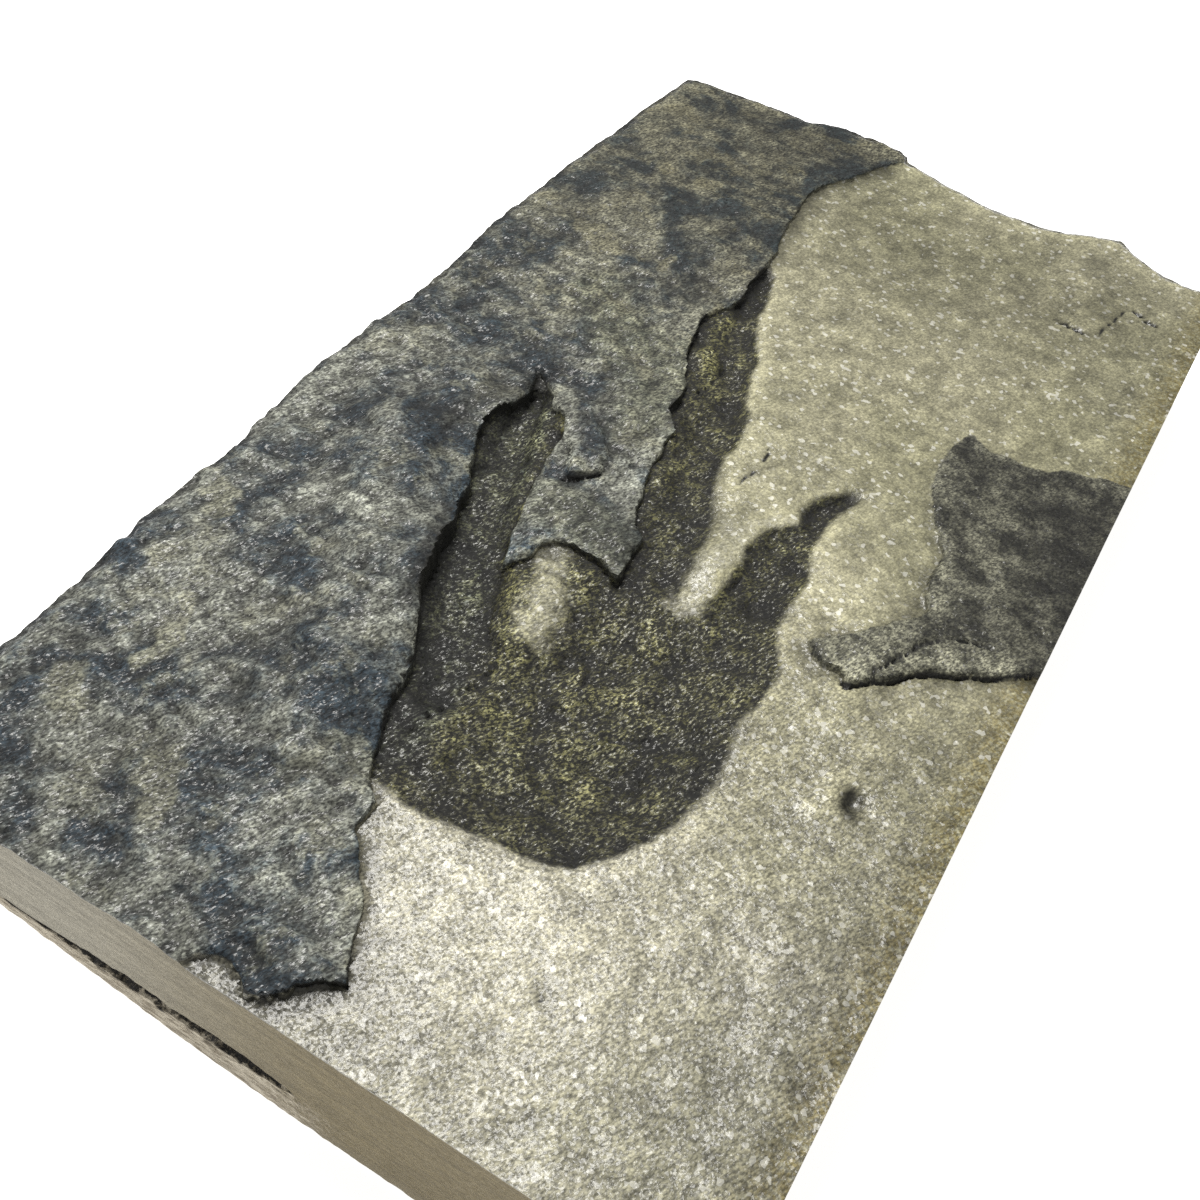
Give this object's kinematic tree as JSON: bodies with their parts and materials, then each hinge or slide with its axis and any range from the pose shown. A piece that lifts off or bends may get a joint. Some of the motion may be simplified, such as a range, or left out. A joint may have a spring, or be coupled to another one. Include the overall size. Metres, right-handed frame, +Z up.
{
  "type": "fossil dinosaur footprint",
  "caption": "Flat slab of bedded stone with a three-toed fossil track pressed through a thin dark upper bed, sawn on two sides and broken on the other two.",
  "frame": {"origin": "centre of the bounding box, on the underside that the slab rests on", "axes": "+X across the slab towards its sawn right side, +Y along it from the heel to the toe tips, +Z up out of the tracked bed"},
  "size_m": [0.1429, 0.26, 0.0352],
  "materials": {
    "bedded_stone": "rough natural bedding surface, greenish tan sandstone under a thin blue-grey upper bed, sawn matt on the front and right sides"
  },
  "bodies": {
    "root": {"footprint_slab": "bedded_stone"}
  },
  "joints": []
}
